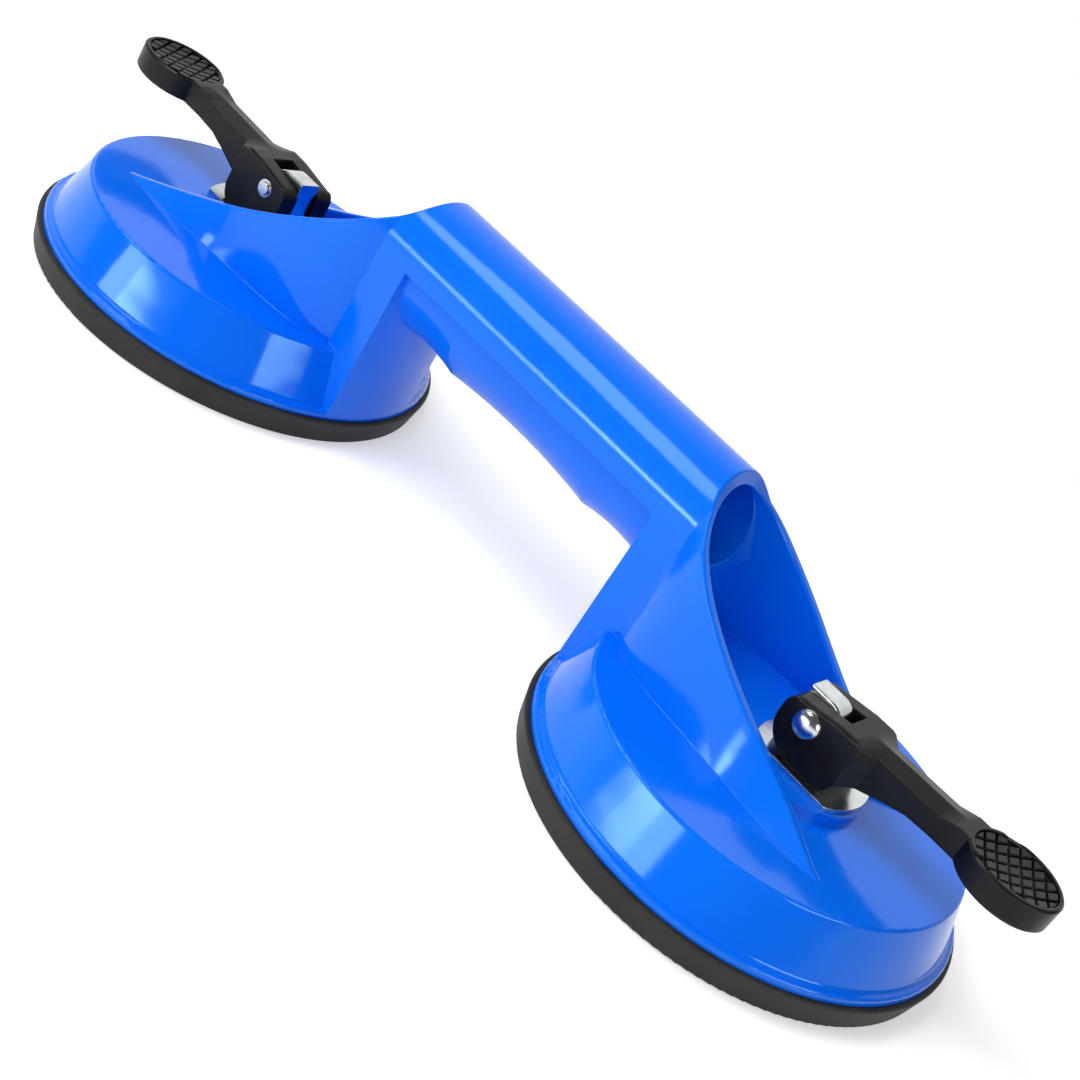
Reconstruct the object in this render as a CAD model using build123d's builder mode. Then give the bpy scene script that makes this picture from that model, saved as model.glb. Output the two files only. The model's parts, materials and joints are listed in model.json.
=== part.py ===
from build123d import *
from math import cos, pi, radians, sin
import os

# Suction lifter: two rubber cups under one moulding, with a grip bar between them and a lever on
# each cup that draws the middle of its pad up. Millimetres. X runs along the bar, Z is up, the
# pads stand on z = 0 and the middle of the bar is at X = 0. Everything is shown clamped.

# Cups
cup_x = 103.0  # each cup axis from the middle of the bar
pad_r = 60.0
pad_lip_r = 58.4
pad_h = 7.4
pad_rim_w = 10.0
pad_edge = 0.7
web_t = 4.0
web_lift = 3.6  # underside of the web above the surface when clamped
disc_r = 22.0
disc_t = 3.0
disc_gap = 0.3  # pad ring round the steel disc
ring_w = 3.7

# Cover over each pad
flange_r = 58.5
flange_t = 2.2
foot_r = 56.6
flange_edge = 0.9
foot_fillet = 1.2
shoulder_edge = 0.9
rim_edge = 0.6
shoulder_r = 51.5
shoulder_z = 24.5
crown_r = 22.0
crown_z = 25.1
cover_t = 3.0
boss_r = 16.0
pocket_r = 13.0
boss_z = 12.4
pocket_top = 24.0

# Grip bar and legs
bar_r = 16.0
bar_z = 56.3  # axis of the round top of the bar
step_z = 54.6  # ledge where the grip is set back
grip_r = 14.2
grip_bottom = 37.1
leg_x = cup_x - 45.5  # ridge where the flat side of the leg turns into the hood
rest_end_x = 47.0  # outer end of the short finger rest
cusp_x = 25.5  # points between the finger rests
long_rise = 1.6
short_rise = 1.2
bore_r = 12.0
bore_drop = 7.6

# Hood: x, half width at its foot, half width and height of its shoulder, height of its crown
hood_bottom = 22.0
hood_wall = 2.8
hood_top = 100.0  # clear above the hood
hood_sections = [
    (leg_x, bar_r, bar_r, bar_z, bar_z + bar_r),
    (leg_x + 7.5, 21.8, 20.7, bar_z, 77.0),
    (leg_x + 15.5, 24.3, 23.2, bar_z, 79.5),
    (cup_x - 6.0, 28.0, 22.2, 46.0, 69.0),
    (cup_x + 7.0, 30.7, 20.2, 38.0, 59.0),
    (cup_x + 39.0, 31.0, 14.0, 25.4, 38.0),
]
# Its spoon-shaped rim as seen from the front: x, z
rim_curve = [
    (leg_x - 3.8, 73.0),
    (leg_x - 0.7, 66.0),
    (leg_x + 2.5, 62.5),
    (cup_x - 25.0, 49.4),
    (cup_x - 3.5, 37.5),
    (cup_x + 17.0, 28.9),
    (cup_x + 42.0, 21.8),
]
platform_z = 28.3
turret_r = 21.5

# Lever works, on the X side of each cup axis
plate_t = 1.2
plate_r = 20.7
plate_half_w = 11.5
pin_x = cup_x + 1.8
pin_r = 2.5
pin_fit = 0.05
cam_gap = 0.05
cam_high = 10.8  # pin axis to the face that rests on the plate when clamped
cam_low = 7.4  # pin axis to the face that rests on it when released
lug_half_w = 3.5
lug_in_x = pin_x - 6.2
lug_end_r = 5.0
lug_top_z = 46.0
lug_edge = 0.6
slot_gap = 0.4
fork_half_w = 9.5
fork_slot_end_x = pin_x + 6.7
fork_end_x = pin_x + 13.2
fork_top_z = 44.2
ledge_w = 1.3  # strip along the outer top edges of the fork, set down a little
ledge_drop = 0.45
neck_x = fork_slot_end_x
neck_top_z = 45.7
neck_half_w = 5.4
ridge_fall = 0.24  # fall of the neck's top away from its ridge, per millimetre
paddle_x = pin_x + 54.2
paddle_a = 12.7
paddle_b = 11.6
paddle_top_z = 46.8
paddle_t = 7.0
paddle_rim = 1.3
paddle_dish = 1.4
paddle_edge = 0.5
neck_end_x = paddle_x - paddle_a + 3.0
head_r = 3.75
head_h = 2.2
tail_r = 1.8
tail_h = 0.8
wire_r = 1.0
spring_r = 10.0
spring_turns = 4

plate_top = platform_z + plate_t
pin_z = plate_top + cam_high + cam_gap
disc_z = web_lift + web_t
neck_slope = (paddle_top_z - neck_top_z) / (paddle_x - paddle_a - neck_x)
cup_axis = Axis((cup_x, 0, 0), (0, 0, 1))


def hood_section(x, foot, shoulder, z, crown, inset=0.0, bottom=hood_bottom):
    """Closed half-barrel outline across the hood at x, narrowed by inset on each side."""
    foot = foot - inset
    shoulder = shoulder - inset
    with BuildSketch(Plane.YZ.offset(x)) as outline:
        with BuildLine():
            Polyline((-shoulder, z), (-foot, bottom), (foot, bottom), (shoulder, z))
            ThreePointArc((shoulder, z), (0, crown - inset), (-shoulder, z))
        make_face()
    return outline.sketch


# Hollow of the hood. It narrows towards the bar, its back slopes up to the mouth of the bore,
# and the platform and the round turret at its end are left standing in it.
hollow = [hood_section(leg_x - 4.5, 9.0, 9.0, bar_z, 68.0, bottom=hood_bottom - 2)]
for x, *shape in hood_sections[1:]:
    runout = 4.0 if x == hood_sections[-1][0] else 0.0
    hollow.append(hood_section(x + runout, *shape, inset=hood_wall, bottom=hood_bottom - 2))
with BuildPart() as scoop:
    loft(sections=hollow)
    with BuildSketch(Plane.XZ):
        with BuildLine():
            Polyline((leg_x - 12.5, hood_top), (leg_x - 12.5, 0), (leg_x + 3.5, 0), (leg_x + 3.5, 48.0),
                     (leg_x - 11.4, 90.0), (leg_x - 11.4, hood_top), close=True)
        make_face()
    extrude(amount=40, both=True, mode=Mode.SUBTRACT)
    with BuildSketch(Plane.XY.offset(platform_z)):
        with Locations((cup_x, 0)):
            Circle(turret_r)
            Rectangle(60, 80, align=(Align.MAX, Align.CENTER))
    extrude(amount=-30, mode=Mode.SUBTRACT)

# Moulding: the right half is made here and mirrored at the end.
hood_outline = [hood_section(*section) for section in hood_sections]
with BuildPart() as housing:
    loft(sections=hood_outline)
    with BuildSketch(Plane.YZ):
        with BuildLine():
            CenterArc((0, bar_z), bar_r, 0, 180)
            Polyline((-bar_r, bar_z), (-bar_r, step_z), (bar_r, step_z), (bar_r, bar_z))
        make_face()
    extrude(amount=leg_x)
    # Spoon-shaped rim, cut straight across
    with BuildSketch(Plane.XZ):
        with BuildLine():
            Spline(*rim_curve)
            Polyline(rim_curve[-1], (cup_x + flange_r, hood_bottom), (cup_x + flange_r, hood_top),
                     (rim_curve[0][0], hood_top), rim_curve[0])
        make_face()
    extrude(amount=40, both=True, mode=Mode.SUBTRACT)
    add(scoop.part, mode=Mode.SUBTRACT)
    rim = housing.faces().filter_by(GeomType.EXTRUSION)
    fillet(rim.edges().filter_by(lambda edge: edge.length > 5), rim_edge)
    # Cup cover
    with BuildSketch(Plane.XZ) as cover:
        with BuildLine():
            Polyline((cup_x, pad_h), (cup_x + flange_r, pad_h), (cup_x + flange_r, pad_h + flange_t),
                     (cup_x + foot_r, pad_h + flange_t), (cup_x + shoulder_r, shoulder_z),
                     (cup_x + crown_r, crown_z), (cup_x, crown_z), close=True)
        make_face()
        for corner_r, corner_z, radius in ((flange_r, pad_h + flange_t, flange_edge),
                                           (foot_r, pad_h + flange_t, foot_fillet),
                                           (shoulder_r, shoulder_z, shoulder_edge)):
            fillet(cover.vertices().sort_by_distance((cup_x + corner_r, corner_z))[0], radius)
    revolve(axis=cup_axis)
    # Leg, flush with the flange on its inner side
    with BuildSketch(Plane.XY.offset(pad_h)):
        with Locations((cup_x, 0)):
            Circle(flange_r)
        with Locations((leg_x, 0)):
            Rectangle(40, 2 * bar_r, align=(Align.MAX, Align.CENTER), mode=Mode.INTERSECT)
    extrude(amount=bar_z - pad_h)
    # Grip, set back under the ledge, with a long and a short finger rest on each side
    for start, end, rise in ((0, cusp_x, long_rise), (cusp_x, rest_end_x, short_rise)):
        with BuildLine() as rest:
            if start == 0:
                ThreePointArc((-end, 0, grip_bottom), (0, 0, grip_bottom + rise), (end, 0, grip_bottom))
            else:
                ThreePointArc((start, 0, grip_bottom), ((start + end) / 2, 0, grip_bottom + rise),
                              (end, 0, grip_bottom))
        with BuildSketch(Plane(rest.line @ 0, x_dir=(0, 1, 0), z_dir=(1, 0, 0))):
            with Locations((0, grip_r)):
                Circle(grip_r)
                Rectangle(2 * grip_r, 6.0, align=(Align.CENTER, Align.MIN))
        sweep(path=rest.line, normal=(1, 0, 0))
    # Inside of the cover, with the spring pocket in its boss
    with BuildSketch(Plane.XZ):
        with BuildLine():
            Polyline((cup_x, 0), (cup_x + foot_r - cover_t, 0), (cup_x + foot_r - cover_t, pad_h),
                     (cup_x + shoulder_r - cover_t, shoulder_z - cover_t),
                     (cup_x + boss_r, shoulder_z - cover_t), (cup_x + boss_r, boss_z),
                     (cup_x + pocket_r, boss_z), (cup_x + pocket_r, pocket_top),
                     (cup_x, pocket_top), close=True)
        make_face()
    revolve(axis=cup_axis, mode=Mode.SUBTRACT)
    # Slot for the lug
    with BuildSketch(Plane.XY.offset(pocket_top - 2)):
        with Locations((lug_in_x - slot_gap, 0)):
            Rectangle(pin_x + lug_end_r - lug_in_x + 2 * slot_gap, 2 * (lug_half_w + slot_gap),
                      align=(Align.MIN, Align.CENTER))
    extrude(amount=10, mode=Mode.SUBTRACT)
    # Oval bore from end to end of the bar
    with BuildSketch(Plane.YZ):
        with BuildLine():
            CenterArc((0, bar_z), bore_r, 0, 180)
            EllipticalCenterArc((0, bar_z), bore_r, bore_drop, 180, arc_size=180)
        make_face()
    extrude(amount=leg_x + 12.5, both=True, mode=Mode.SUBTRACT)
    mirror(about=Plane.YZ)
housing.part.label = "housing_and_handle"

# Rubber pad, drawn up in the middle, with a ring round the steel disc
with BuildPart() as right_pad:
    with BuildSketch(Plane.XZ) as pad:
        with BuildLine():
            Polyline((cup_x, web_lift), (cup_x + disc_r + ring_w, web_lift),
                     (cup_x + pad_lip_r - 8.4, 0), (cup_x + pad_lip_r, 0), (cup_x + pad_r, pad_h),
                     (cup_x + pad_r - pad_rim_w, pad_h), (cup_x + disc_r + disc_gap + ring_w, disc_z),
                     (cup_x + disc_r + disc_gap + ring_w, disc_z + disc_t),
                     (cup_x + disc_r + disc_gap, disc_z + disc_t), (cup_x + disc_r + disc_gap, disc_z),
                     (cup_x, disc_z), close=True)
        make_face()
        for corner in ((cup_x + pad_lip_r, 0), (cup_x + pad_r, pad_h)):
            fillet(pad.vertices().sort_by_distance(corner)[0], pad_edge)
    revolve(axis=cup_axis)
right_pad.part.label = "right_pad"

with BuildPart() as right_core_disc:
    with BuildSketch(Plane.XY.offset(disc_z)):
        with Locations((cup_x, 0)):
            Circle(disc_r)
    extrude(amount=disc_t)
right_core_disc.part.label = "right_core_disc"

# Lug: a flat tongue with a rounded outer end and an eye for the rivet
with BuildPart() as right_pull_lug:
    with BuildSketch(Plane.XZ):
        with BuildLine():
            Polyline((pin_x + lug_end_r, pin_z), (pin_x + lug_end_r, disc_z + disc_t),
                     (lug_in_x, disc_z + disc_t), (lug_in_x, lug_top_z), (pin_x, lug_top_z))
            EllipticalCenterArc((pin_x, pin_z), lug_end_r, lug_top_z - pin_z, 0, arc_size=90)
        make_face()
        with Locations((pin_x, pin_z)):
            Circle(pin_r + pin_fit, mode=Mode.SUBTRACT)
    extrude(amount=lug_half_w, both=True)
    fillet(right_pull_lug.edges().filter_by(Axis.X).group_by(Axis.Z)[-1], lug_edge)
right_pull_lug.part.label = "right_pull_lug"

with BuildPart() as right_spring:
    with BuildLine() as coil:
        Helix(pitch=(pocket_top - disc_z - disc_t - 2 * wire_r - 0.1) / spring_turns,
              height=pocket_top - disc_z - disc_t - 2 * wire_r - 0.1, radius=spring_r,
              center=(cup_x, 0, disc_z + disc_t + wire_r + 0.05))
    with BuildSketch(Plane(coil.line @ 0, z_dir=coil.line % 0)):
        Circle(wire_r)
    sweep(path=coil.line, is_frenet=True)
right_spring.part.label = "right_spring"

# Wear plate: a round plate with two straight sides and the lug's slot
with BuildPart() as right_wear_plate:
    with BuildSketch(Plane.XY.offset(platform_z)):
        with Locations((cup_x, 0)):
            Circle(plate_r)
            Rectangle(2 * plate_r, 2 * plate_half_w, mode=Mode.INTERSECT)
        with Locations((lug_in_x - slot_gap, 0)):
            Rectangle(pin_x + lug_end_r - lug_in_x + 2 * slot_gap, 2 * (lug_half_w + slot_gap),
                      align=(Align.MIN, Align.CENTER), mode=Mode.SUBTRACT)
    extrude(amount=plate_t)
right_wear_plate.part.label = "right_wear_plate"

# Lever: fork with its cam, neck and oval paddle. The cam's distance from the pin falls evenly
# with the angle, so the lug sinks in step with the lever as it opens.
cam_fall = (cam_high - cam_low) / (pi / 2)
cam_points = []
for step in range(10):
    angle = radians(10 * step)
    reach = cam_high - cam_fall * angle
    cam_points.append((pin_x - reach * sin(angle) + cam_fall * cos(angle),
                       pin_z - reach * cos(angle) - cam_fall * sin(angle)))
with BuildPart() as right_lever:
    with BuildSketch(Plane.XZ):
        with BuildLine():
            Spline(*cam_points, tangents=((-1, 0), (0, 1)))
            Polyline(cam_points[-1], (pin_x - cam_low, pin_z + 0.7))
            ThreePointArc((pin_x - cam_low, pin_z + 0.7), (pin_x - 6.4, fork_top_z - 1.0),
                          (pin_x - 4.2, fork_top_z))
            Polyline((pin_x - 4.2, fork_top_z), (neck_x, neck_top_z),
                     (paddle_x - paddle_a, paddle_top_z), (neck_end_x, paddle_top_z),
                     (neck_end_x, paddle_top_z - paddle_t),
                     (paddle_x - 18.0, paddle_top_z - paddle_t), (paddle_x - 25.0, neck_top_z - 6.4),
                     (pin_x + 23.2, neck_top_z - 8.2), (pin_x + 13.5, neck_top_z - 11.7),
                     (pin_x + 12.2, plate_top + 1.5), (pin_x + 11.0, plate_top + cam_gap), cam_points[0])
        make_face()
    extrude(amount=fork_half_w + 3, both=True)
    with BuildSketch(Plane.XY):
        with BuildLine():
            Polyline((pin_x - 15.0, fork_half_w), (fork_end_x, fork_half_w), (fork_end_x + 3.5, neck_half_w),
                     (paddle_x, neck_half_w), (paddle_x, -neck_half_w), (fork_end_x + 3.5, -neck_half_w),
                     (fork_end_x, -fork_half_w), (pin_x - 15.0, -fork_half_w), close=True)
        make_face()
    extrude(amount=80, mode=Mode.INTERSECT)
    # Paddle, with its edges broken
    for z, inset in ((paddle_top_z - paddle_t, paddle_edge), (paddle_top_z - paddle_t + paddle_edge, 0),
                     (paddle_top_z - paddle_edge, 0), (paddle_top_z, paddle_edge)):
        with BuildSketch(Plane.XY.offset(z)):
            with Locations((paddle_x, 0)):
                Ellipse(paddle_a - inset, paddle_b - inset)
    loft(ruled=True)
    with BuildSketch(Plane.XY):
        with Locations((fork_slot_end_x, 0)):
            Rectangle(30, 2 * (lug_half_w + slot_gap), align=(Align.MAX, Align.CENTER))
    extrude(amount=80, mode=Mode.SUBTRACT)
    with BuildSketch(Plane.XZ):
        with Locations((pin_x, pin_z)):
            Circle(pin_r)
    extrude(amount=fork_half_w, both=True, mode=Mode.SUBTRACT)
    with BuildSketch(Plane.XY.offset(paddle_top_z)):
        with Locations((paddle_x, 0)):
            Ellipse(paddle_a - paddle_rim, paddle_b - paddle_rim)
    extrude(amount=-paddle_dish, mode=Mode.SUBTRACT)
    for side in (1, -1):
        # Ledge along the outer top edge of the fork
        with BuildSketch(Plane.XZ.offset(side * (fork_half_w - ledge_w))):
            with BuildLine():
                Polyline((pin_x - 15.0, fork_top_z - ledge_drop), (pin_x - 4.2, fork_top_z - ledge_drop),
                         (neck_x, neck_top_z - ledge_drop), (paddle_x, paddle_top_z - ledge_drop),
                         (paddle_x, hood_top), (pin_x - 15.0, hood_top), close=True)
            make_face()
        extrude(amount=side * 2 * ledge_w, mode=Mode.SUBTRACT)
        # Fall of the neck's top from its ridge to this side, faded out at both ends
        for x, fall in ((neck_x + 1.5, -0.1), (neck_x + 10.0, ridge_fall), (paddle_x - 19.0, ridge_fall),
                        (paddle_x - 11.5, -0.1)):
            z = neck_top_z + neck_slope * (x - neck_x)
            with BuildSketch(Plane.YZ.offset(x)):
                with BuildLine():
                    Polyline((0, z + 0.05), (side * 12.0, z - 12.0 * fall), (side * 12.0, z + 3.0),
                             (0, z + 3.0), close=True)
                make_face()
        loft(ruled=True, mode=Mode.SUBTRACT)
right_lever.part.label = "right_lever"

# Rivet with a domed head on one side and a small set tail on the other
with BuildPart() as right_rivet_pin:
    with BuildSketch(Plane.XY.offset(pin_z)):
        with BuildLine():
            Polyline((pin_x, -fork_half_w - head_h), (pin_x, fork_half_w + tail_h),
                     (pin_x + tail_r, fork_half_w + tail_h), (pin_x + tail_r, fork_half_w),
                     (pin_x + pin_r, fork_half_w), (pin_x + pin_r, -fork_half_w),
                     (pin_x + head_r, -fork_half_w))
            EllipticalCenterArc((pin_x, -fork_half_w), head_r, head_h, 270, arc_size=90)
        make_face()
    revolve(axis=Axis((pin_x, 0, pin_z), (0, 1, 0)))
right_rivet_pin.part.label = "right_rivet_pin"

right_parts = [right_pad, right_core_disc, right_pull_lug, right_spring, right_wear_plate,
               right_lever, right_rivet_pin]

os.makedirs("parts", exist_ok=True)
export_step(housing.part, "parts/housing_and_handle.step")
for maker in right_parts:
    name = maker.part.label
    export_step(maker.part, "parts/" + name + ".step")
    # The left cup's parts are the same pieces turned half round about Z.
    with BuildPart() as turned:
        add(maker.part, rotation=(0, 0, 180))
    turned.part.label = name.replace("right", "left")
    export_step(turned.part, "parts/" + turned.part.label + ".step")
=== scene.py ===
import json
from math import asin, cos, hypot, pi, radians, sin

import bmesh
import bpy
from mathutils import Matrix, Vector


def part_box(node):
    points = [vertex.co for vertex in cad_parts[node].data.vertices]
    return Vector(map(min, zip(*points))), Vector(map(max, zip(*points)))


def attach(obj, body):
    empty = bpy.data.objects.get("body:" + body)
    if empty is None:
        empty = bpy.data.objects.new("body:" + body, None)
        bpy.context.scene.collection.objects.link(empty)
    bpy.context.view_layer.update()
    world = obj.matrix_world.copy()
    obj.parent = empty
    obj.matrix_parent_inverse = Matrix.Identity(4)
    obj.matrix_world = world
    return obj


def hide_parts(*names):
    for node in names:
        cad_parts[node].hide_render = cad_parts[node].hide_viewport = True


# Looks of a two-cup suction lifter, in metres: +X towards the right cup, +Y to the back, +Z up
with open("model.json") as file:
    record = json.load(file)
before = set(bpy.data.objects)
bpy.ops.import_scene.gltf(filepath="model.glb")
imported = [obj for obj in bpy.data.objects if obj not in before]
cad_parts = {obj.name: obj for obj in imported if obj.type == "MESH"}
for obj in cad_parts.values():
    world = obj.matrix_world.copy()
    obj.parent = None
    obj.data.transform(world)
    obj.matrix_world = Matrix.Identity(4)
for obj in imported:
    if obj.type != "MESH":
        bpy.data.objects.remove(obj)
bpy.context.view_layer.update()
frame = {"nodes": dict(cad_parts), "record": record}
nodes = frame["nodes"]

# Camera of the photograph: where it stands, how it is turned, its lens and sensor, and its near limit
CAMERA_PLACE = (0.2083, -0.3854, 0.2353)
CAMERA_TURN = (59.087, -29.061, 42.491)
CAMERA_LENS = 63.1
CAMERA_SENSOR = 36.0
CAMERA_NEAR = 0.01

# Colours of the finishes and the floor, linear
BLUE = (0.0010, 0.160, 0.94, 1.0)
BLUE_DEEP = (0.0006, 0.140, 0.87, 1.0)
BLUE_SCUFFED = (0.0100, 0.210, 0.95, 1.0)
BLUE_SHEEN = (0.52, 0.97, 1.0, 1.0)  # tint of its highlights
BLACK_PLASTIC = (0.0030, 0.0030, 0.0036, 1.0)
BLACK_PLASTIC_PALE = (0.0070, 0.0070, 0.0072, 1.0)
BLACK_PLASTIC_WORN = (0.040, 0.039, 0.037, 1.0)
RUBBER = (0.009, 0.009, 0.008, 1.0)
RUBBER_DUSTY = (0.026, 0.025, 0.022, 1.0)
RUBBER_WORN = (0.045, 0.044, 0.040, 1.0)
ZINC = (0.78, 0.81, 0.79, 1.0)
ZINC_DULL = (0.58, 0.61, 0.61, 1.0)
ZINC_WORN = (0.90, 0.91, 0.89, 1.0)
SPRING = (0.50, 0.51, 0.53, 1.0)
SPRING_DULL = (0.34, 0.35, 0.37, 1.0)
WHITE = (1.0, 1.0, 1.0, 1.0)
FLOOR_COLOUR = (0.84, 0.84, 0.84, 1.0)

# Wear along the edges
TURN_FROM = 0.99  # cosine between a face and its rounded edge where wear starts
TURN_FULL = 0.86  # and where it is full
PATCH_FROM = 0.40  # noise above which it comes in patches
PATCH_FULL = 0.62  # and where a patch is full
PATCH_LEAST = 0.15  # share of it between the patches
WORN_ROUGHNESS = 0.12  # what full wear adds to the roughness
BEVEL_SAMPLES = 6

# Paddle of a lever: its middle and its recess, as in the CAD model
PADDLE_X = 0.159
RECESS_A = 0.0114
RECESS_B = 0.0103
RECESS_FLOOR = 0.0454

# Tread in the recess: diamonds between two families of grooves
TREAD_PITCH = 0.0032
TREAD_ANGLE = 60.0  # between the grooves and the X axis, in degrees
TREAD_GROOVE = 0.00048
TREAD_HEIGHT = 0.00045  # above the floor of the recess, in the middle
TREAD_DISH = 0.00070  # how much higher its top is at the wall
TREAD_DRAFT = 0.00008  # how far the side of a diamond leans in
TREAD_EDGE = 0.00022  # chamfer round its top
TREAD_GAP = 0.0001  # between the tread and the wall
TREAD_ROOT = 0.00005  # how far a diamond goes into the floor
TREAD_ROWS = 5  # rows of diamonds on each side of the middle
TREAD_SIDE_STEPS = 4  # points along each side of a diamond, so that it can follow the wall
TREAD_LEAST_AREA = 0.10 * TREAD_PITCH ** 2  # smallest top of a diamond that the wall cuts off
SAME_POINT = 0.000002

# Wear plate, measured from the cup's axis outward
PLATE_IN = -0.0034  # where its rounded inner end starts
PLATE_ROUNDING = 0.45  # depth of that rounding, in half widths of the plate
SLOT_FROM = -0.0048
SLOT_TO = 0.0072
SLOT_HALF = 0.0039
ARC_STEPS = 24

# Floor
FLOOR_REACH = 6.0
FLOOR_WHITE_FROM = 0.20  # distance from the middle at which it starts to turn plain white
FLOOR_WHITE_AT = 0.42  # and at which it is
FLOOR_LIFT = 0.42  # white that is added to it where it is seen

# Surroundings
BACKDROP = (-0.53, 0.85, 0.0)  # the way to the white backdrop
BACKDROP_FROM = 0.20  # how squarely a ray points that way where the backdrop begins
BACKDROP_FULL = 0.70  # and where it is at its full level
ROOM_LEVEL = 0.12  # level of the room on all other sides
LAMP_AIM = (0, 0, 0.03)  # what the lamps face


def add_object(name, data):
    """An object made of data, in the scene."""
    thing = bpy.data.objects.new(name, data)
    bpy.context.scene.collection.objects.link(thing)
    return thing


def add_piece(name, mesh, finish):
    """An object made of a bmesh, which is freed, in one finish."""
    data = bpy.data.meshes.new(name)
    mesh.to_mesh(data)
    mesh.free()
    data.materials.append(finish)
    return add_object(name, data)


def new_material(name):
    """An empty node material, with its tree and its shader."""
    material = bpy.data.materials.new(name)
    material.use_nodes = True
    tree = material.node_tree
    return material, tree, tree.nodes["Principled BSDF"]


def calculate(tree, operation, *terms, kind="ShaderNodeMath"):
    """Number that a maths operation gives for terms, each a socket or a value."""
    step = tree.nodes.new(kind)
    step.operation = operation
    for socket, term in zip(step.inputs, terms):
        if isinstance(term, bpy.types.NodeSocket):
            tree.links.new(term, socket)
        else:
            socket.default_value = term
    return step.outputs["Value"]


def add_noise(tree, scale, detail=4.0):
    """Noise on the object's own coordinates, at scale features per metre."""
    place = tree.nodes.new("ShaderNodeTexCoord")
    noise = tree.nodes.new("ShaderNodeTexNoise")
    noise.inputs["Scale"].default_value = scale
    noise.inputs["Detail"].default_value = detail
    tree.links.new(place.outputs["Object"], noise.inputs["Vector"])
    return noise.outputs["Fac"]


def colour_between(tree, fac, low, high, start=0.35, end=0.65):
    """Colour that runs from low to high as fac goes from start to end."""
    ramp = tree.nodes.new("ShaderNodeValToRGB")
    ramp.color_ramp.elements[0].position = start
    ramp.color_ramp.elements[0].color = low
    ramp.color_ramp.elements[1].position = end
    ramp.color_ramp.elements[1].color = high
    tree.links.new(fac, ramp.inputs["Fac"])
    return ramp.outputs["Color"]


def range_between(tree, fac, low, high, start=0.3, end=0.7):
    """Number that runs from low to high as fac goes from start to end."""
    spread = tree.nodes.new("ShaderNodeMapRange")
    spread.inputs["From Min"].default_value = start
    spread.inputs["From Max"].default_value = end
    spread.inputs["To Min"].default_value = low
    spread.inputs["To Max"].default_value = high
    tree.links.new(fac, spread.inputs["Value"])
    return spread.outputs["Result"]


def mix_colour(tree, fac, low, high):
    """Colour that is the socket low where fac is 0, and the colour high where it is 1."""
    mix = tree.nodes.new("ShaderNodeMix")
    mix.data_type = "RGBA"
    tree.links.new(fac, mix.inputs["Factor"])
    tree.links.new(low, mix.inputs["A"])
    mix.inputs["B"].default_value = high
    return mix.outputs["Result"]


def rounded_normal(tree, radius):
    """Normal of the surface with its edges rounded to this radius."""
    bevel = tree.nodes.new("ShaderNodeBevel")
    bevel.samples = BEVEL_SAMPLES
    bevel.inputs["Radius"].default_value = radius
    return bevel.outputs["Normal"]


def add_bump(tree, shader, reliefs, rounding):
    """Edges rounded by rounding, and relief: each of reliefs is a height from 0 to 1 and its depth."""
    below = rounded_normal(tree, rounding)
    for height, depth in reliefs:
        bump = tree.nodes.new("ShaderNodeBump")
        bump.inputs["Strength"].default_value = 1.0
        bump.inputs["Distance"].default_value = depth
        tree.links.new(height, bump.inputs["Height"])
        tree.links.new(below, bump.inputs["Normal"])
        below = bump.outputs["Normal"]
    tree.links.new(below, shader.inputs["Normal"])


def add_edges(tree, width, scale):
    """Wear: up to 1 in patches along the edges of the piece, and 0 on its faces."""
    face = tree.nodes.new("ShaderNodeNewGeometry")
    turn = calculate(tree, "DOT_PRODUCT", rounded_normal(tree, width), face.outputs["Normal"],
                     kind="ShaderNodeVectorMath")
    edge = range_between(tree, turn, 0.0, 1.0, start=TURN_FROM, end=TURN_FULL)
    patch = range_between(tree, add_noise(tree, scale), PATCH_LEAST, 1.0, start=PATCH_FROM, end=PATCH_FULL)
    return calculate(tree, "MULTIPLY", edge, patch)


finishes = {}


def add_finish(name, colours, worn, roughness, patch_scale, reliefs, wear=(0.0006, 250.0), rounding=0.0004,
               metallic=0.0, specular=0.5, sheen=WHITE):
    """Finish with slow patches of colour and gloss, reliefs (scale, depth) and worn edges (width, scale)."""
    material, tree, shader = new_material(name)
    patches = add_noise(tree, patch_scale)
    colour = colour_between(tree, patches, *colours)
    edges = add_edges(tree, *wear)
    tree.links.new(mix_colour(tree, edges, colour, worn), shader.inputs["Base Color"])
    gloss = range_between(tree, patches, *roughness)
    rougher = calculate(tree, "MULTIPLY_ADD", edges, WORN_ROUGHNESS, gloss)
    tree.links.new(rougher, shader.inputs["Roughness"])
    shader.inputs["Metallic"].default_value = metallic
    shader.inputs["Specular IOR Level"].default_value = specular
    shader.inputs["Specular Tint"].default_value = sheen
    heights = [(add_noise(tree, scale, detail=2.0), depth) for scale, depth in reliefs]
    add_bump(tree, shader, heights, rounding)
    finishes[name] = material


# Glossy moulding, with the slight waves that wander through its highlights
add_finish("blue_plastic", colours=(BLUE_DEEP, BLUE), worn=BLUE_SCUFFED, roughness=(0.09, 0.13),
           patch_scale=14.0, reliefs=[(38.0, 0.00020), (1400.0, 0.0000020)], wear=(0.0005, 120.0),
           specular=0.45, sheen=BLUE_SHEEN)
add_finish("black_plastic", colours=(BLACK_PLASTIC, BLACK_PLASTIC_PALE), worn=BLACK_PLASTIC_WORN,
           roughness=(0.30, 0.42), patch_scale=90.0, reliefs=[(120.0, 0.00006), (2600.0, 0.000010)],
           wear=(0.0005, 300.0), rounding=0.0005, specular=0.22)
add_finish("black_rubber", colours=(RUBBER, RUBBER_DUSTY), worn=RUBBER_WORN, roughness=(0.52, 0.72),
           patch_scale=70.0, reliefs=[(160.0, 0.00010), (2200.0, 0.000020)], specular=0.35)
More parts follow.
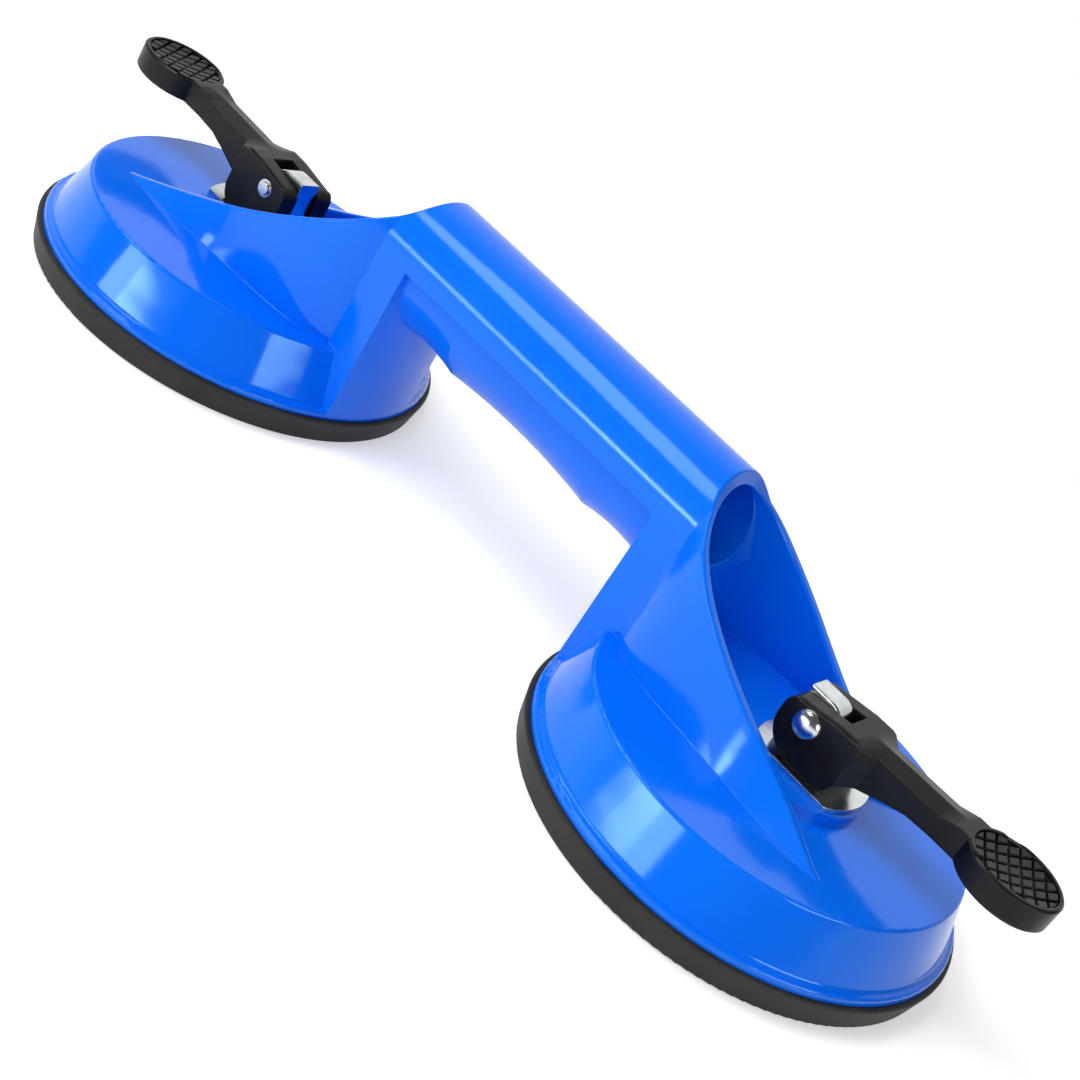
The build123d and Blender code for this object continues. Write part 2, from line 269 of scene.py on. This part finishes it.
add_finish("bright_steel", colours=(ZINC_DULL, ZINC), worn=ZINC_WORN, roughness=(0.14, 0.26),
           patch_scale=160.0, reliefs=[(300.0, 0.00003), (2500.0, 0.000006)], wear=(0.0003, 500.0),
           rounding=0.0003, metallic=1.0)
add_finish("zinc_steel", colours=(ZINC_DULL, ZINC), worn=ZINC_WORN, roughness=(0.28, 0.42),
           patch_scale=200.0, reliefs=[(400.0, 0.00003), (1800.0, 0.000010)], metallic=1.0)
add_finish("spring_steel", colours=(SPRING_DULL, SPRING), worn=ZINC_DULL, roughness=(0.25, 0.38),
           patch_scale=300.0, reliefs=[(2000.0, 0.000010)], wear=(0.0002, 900.0), rounding=0.0001,
           metallic=1.0)

slot_of = {row["node"]: row["material_slot"] for row in frame["record"]["subparts"]}
for name, node in nodes.items():
    node.data.materials.clear()
    node.data.materials.append(finishes[slot_of[name]])


def tread_outline(column, row, inset):
    """Points round one diamond of the tread, about the middle of the paddle, narrowed by inset."""
    angle = radians(TREAD_ANGLE)
    half = TREAD_PITCH / 2 - TREAD_GROOVE / 2 - inset
    corners = []
    for side_c, side_r in ((-1, -1), (1, -1), (1, 1), (-1, 1)):
        # How far the corner is from the line of each family that runs through the middle
        c = column * TREAD_PITCH + side_c * half
        r = row * TREAD_PITCH + side_r * half
        corners.append(((c + r) / (2 * sin(angle)), (c - r) / (2 * cos(angle))))
    points = []
    for (x0, y0), (x1, y1) in zip(corners, corners[1:] + corners[:1]):
        for step in range(TREAD_SIDE_STEPS):
            share = step / TREAD_SIDE_STEPS
            points.append((x0 + (x1 - x0) * share, y0 + (y1 - y0) * share))
    return points


def share_of_recess(x, y):
    """0 in the middle of the recess and 1 at its wall."""
    return hypot(x / RECESS_A, y / RECESS_B)


def tread_top(x, y):
    """Height of the tread, whose top is dished like a shallow bowl."""
    return RECESS_FLOOR + TREAD_HEIGHT + TREAD_DISH * share_of_recess(x, y) ** 2


def into_recess(points, margin):
    """Points, with those nearer to the wall of the recess than margin, or outside it, pulled in."""
    kept = []
    for x, y in points:
        share = share_of_recess(x, y) / (1 - margin / RECESS_B)
        kept.append((x / share, y / share) if share > 1 else (x, y))
    return kept


def area_of(points):
    """Area inside an outline."""
    turned = points[1:] + points[:1]
    return abs(sum(x0 * y1 - x1 * y0 for (x0, y0), (x1, y1) in zip(points, turned))) / 2


def add_diamond(mesh, column, row, side):
    """One diamond of the tread, unless the wall of the recess leaves too little of it."""
    def outline(inset):
        return into_recess(tread_outline(column, row, inset), TREAD_GAP + inset)

    def corner(x, y, z):
        return mesh.verts.new((side * (PADDLE_X + x), side * y, z))

    foot = outline(0.0)
    shoulder = outline(TREAD_DRAFT)
    top = outline(TREAD_DRAFT + TREAD_EDGE)
    if area_of(top) < TREAD_LEAST_AREA:
        return
    root_ring = [corner(x, y, RECESS_FLOOR - TREAD_ROOT) for x, y in foot]
    shoulder_ring = [corner(x, y, tread_top(x, y) - TREAD_EDGE) for x, y in shoulder]
    top_ring = [corner(x, y, tread_top(x, y)) for x, y in top]
    count = len(top)
    middle_x = sum(x for x, y in top) / count
    middle_y = sum(y for x, y in top) / count
    peak = corner(middle_x, middle_y, tread_top(middle_x, middle_y))
    for low, high in ((root_ring, shoulder_ring), (shoulder_ring, top_ring)):
        for i in range(count):
            j = (i + 1) % count
            mesh.faces.new((low[i], low[j], high[j], high[i]))
    for i in range(count):
        mesh.faces.new((top_ring[i], top_ring[(i + 1) % count], peak))
    mesh.faces.new(list(reversed(root_ring)))


def add_tread(name, body, side):
    """Raised diamonds in the dished recess of the paddle on the side's end of the tool."""
    mesh = bmesh.new()
    for column in range(-TREAD_ROWS, TREAD_ROWS + 1):
        for row in range(-TREAD_ROWS, TREAD_ROWS + 1):
            add_diamond(mesh, column, row, side)
    bmesh.ops.remove_doubles(mesh, verts=mesh.verts, dist=SAME_POINT)
    bmesh.ops.recalc_face_normals(mesh, faces=mesh.faces)
    tread = add_piece(name, mesh, finishes["black_plastic"])
    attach(tread, body)


add_tread("right_lever_tread", "right_lever", 1)
add_tread("left_lever_tread", "left_lever", -1)


def oval_arc(middle, across, up, start, swing):
    """Points of an oval round a place on the X axis, from the angle start on through swing."""
    angles = [start + swing * step / ARC_STEPS for step in range(ARC_STEPS + 1)]
    return [(middle + across * cos(angle), up * sin(angle)) for angle in angles]


def add_plate(name, node, body, side):
    """Bright plate under the cam, round at its outer end and short at its inner end, for a CAD plate."""
    low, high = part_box(node)
    thick = high[2] - low[2]
    half = (high[1] - low[1]) / 2
    reach = (high[0] - low[0]) / 2
    middle = (high[0] + low[0]) / 2
    turn = asin(half / reach)
    outline = oval_arc(0.0, reach, reach, -turn, 2 * turn)
    outline += oval_arc(PLATE_IN, PLATE_ROUNDING * half, half, pi / 2, pi)
    slot = [(SLOT_FROM, -SLOT_HALF), (SLOT_TO, -SLOT_HALF), (SLOT_TO, SLOT_HALF), (SLOT_FROM, SLOT_HALF)]
    mesh = bmesh.new()
    edges = []
    for points in (outline, slot):
        verts = [mesh.verts.new((middle + side * x, side * y, low[2])) for x, y in points]
        edges += [mesh.edges.new(pair) for pair in zip(verts, verts[1:] + verts[:1])]
    filled = bmesh.ops.triangle_fill(mesh, use_beauty=True, use_dissolve=False, edges=edges)
    faces = [face for face in filled["geom"] if isinstance(face, bmesh.types.BMFace)]
    grown = bmesh.ops.extrude_face_region(mesh, geom=faces)
    raised = [vert for vert in grown["geom"] if isinstance(vert, bmesh.types.BMVert)]
    bmesh.ops.translate(mesh, verts=raised, vec=(0, 0, thick))
    bmesh.ops.recalc_face_normals(mesh, faces=mesh.faces)
    plate = add_piece(name, mesh, finishes["bright_steel"])
    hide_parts(node)
    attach(plate, body)


add_plate("right_wear_plate_trimmed", "right_wear_plate", "housing", 1)
add_plate("left_wear_plate_trimmed", "left_wear_plate", "housing", -1)


def add_floor():
    """Floor that takes the object's shadow near it and is plain white further out."""
    reach = FLOOR_REACH
    mesh = bpy.data.meshes.new("floor")
    mesh.from_pydata([(-reach, -reach, 0), (reach, -reach, 0), (reach, reach, 0), (-reach, reach, 0)],
                     [], [(0, 1, 2, 3)])
    floor = add_object("floor", mesh)
    material, tree, shader = new_material("floor")
    mesh.materials.append(material)
    shader.inputs["Base Color"].default_value = FLOOR_COLOUR
    shader.inputs["Roughness"].default_value = 0.95
    shader.inputs["Specular IOR Level"].default_value = 0.1
    rays = tree.nodes.new("ShaderNodeLightPath").outputs
    seen = calculate(tree, "MAXIMUM", rays["Is Camera Ray"], rays["Is Glossy Ray"])
    seen = calculate(tree, "MAXIMUM", seen, rays["Is Transmission Ray"])
    # White that is added only where the floor is seen, so that it doesn't light the object
    glow = tree.nodes.new("ShaderNodeEmission")
    strength = range_between(tree, seen, 0.0, FLOOR_LIFT, start=0.0, end=1.0)
    tree.links.new(strength, glow.inputs["Strength"])
    lit = tree.nodes.new("ShaderNodeAddShader")
    tree.links.new(shader.outputs["BSDF"], lit.inputs[0])
    tree.links.new(glow.outputs["Emission"], lit.inputs[1])
    # Plain white further out
    white = tree.nodes.new("ShaderNodeEmission")
    white.inputs["Strength"].default_value = 1.0
    place = tree.nodes.new("ShaderNodeTexCoord")
    distance = calculate(tree, "LENGTH", place.outputs["Object"], kind="ShaderNodeVectorMath")
    far = range_between(tree, distance, 0.0, 1.0, start=FLOOR_WHITE_FROM, end=FLOOR_WHITE_AT)
    mix = tree.nodes.new("ShaderNodeMixShader")
    tree.links.new(calculate(tree, "MULTIPLY", far, seen), mix.inputs["Fac"])
    tree.links.new(lit.outputs["Shader"], mix.inputs[1])
    tree.links.new(white.outputs["Emission"], mix.inputs[2])
    tree.links.new(mix.outputs["Shader"], tree.nodes["Material Output"].inputs["Surface"])


add_floor()

# Camera
camera_data = bpy.data.cameras.new("camera")
camera_data.lens = CAMERA_LENS
camera_data.sensor_width = CAMERA_SENSOR
camera_data.clip_start = CAMERA_NEAR
camera = add_object("camera", camera_data)
camera.location = CAMERA_PLACE
camera.rotation_euler = [radians(angle) for angle in CAMERA_TURN]
bpy.context.scene.camera = camera


def add_softbox(name, place, size, radiance, use="both"):
    """Rectangular lamp that faces the object, at this radiance; use is both, light or shine."""
    width, height = size
    lamp = bpy.data.lights.new(name, "AREA")
    lamp.shape = "RECTANGLE"
    lamp.size = width
    lamp.size_y = height
    lamp.energy = radiance * pi * width * height
    holder = add_object(name, lamp)
    holder.location = place
    holder.rotation_euler = (Vector(LAMP_AIM) - Vector(place)).to_track_quat("-Z", "Y").to_euler()
    holder.visible_glossy = use != "light"
    holder.visible_diffuse = use != "shine"


# The boxes that shine stand where the moulding in the photograph reflects them
add_softbox("front_box", place=(-0.224, -0.814, 0.215), size=(0.65, 0.42), radiance=2.7, use="light")
add_softbox("front_shine", place=(-0.224, -0.814, 0.094), size=(0.65, 0.09), radiance=8.5, use="shine")
add_softbox("front_core", place=(-0.221, -0.802, 0.088), size=(0.24, 0.06), radiance=7.0, use="shine")
add_softbox("top_box", place=(-0.42, -0.44, 0.90), size=(0.50, 0.38), radiance=5.2)
add_softbox("side_box", place=(0.92, -0.236, 0.34), size=(0.50, 0.33), radiance=2.0, use="light")
add_softbox("side_shine", place=(0.90, -0.231, 0.333), size=(0.49, 0.32), radiance=7.0, use="shine")
add_softbox("top_fill", place=(-0.55, -0.45, 1.25), size=(1.20, 1.20), radiance=2.0, use="light")
add_softbox("right_fill", place=(0.62, -0.86, 0.46), size=(0.70, 0.70), radiance=1.5, use="light")


def add_world():
    """White backdrop behind the object and a dim room in front of it; the camera sees white."""
    world = bpy.data.worlds.new("studio")
    world.use_nodes = True
    tree = world.node_tree
    background = tree.nodes["Background"]
    place = tree.nodes.new("ShaderNodeTexCoord")
    squarely = calculate(tree, "DOT_PRODUCT", place.outputs["Generated"], BACKDROP,
                         kind="ShaderNodeVectorMath")
    behind = range_between(tree, squarely, ROOM_LEVEL, 1.0, start=BACKDROP_FROM, end=BACKDROP_FULL)
    rays = tree.nodes.new("ShaderNodeLightPath")
    level = calculate(tree, "MAXIMUM", behind, rays.outputs["Is Camera Ray"])
    background.inputs["Color"].default_value = WHITE
    tree.links.new(level, background.inputs["Strength"])
    bpy.context.scene.world = world


add_world()
bpy.context.scene.view_settings.view_transform = "Standard"
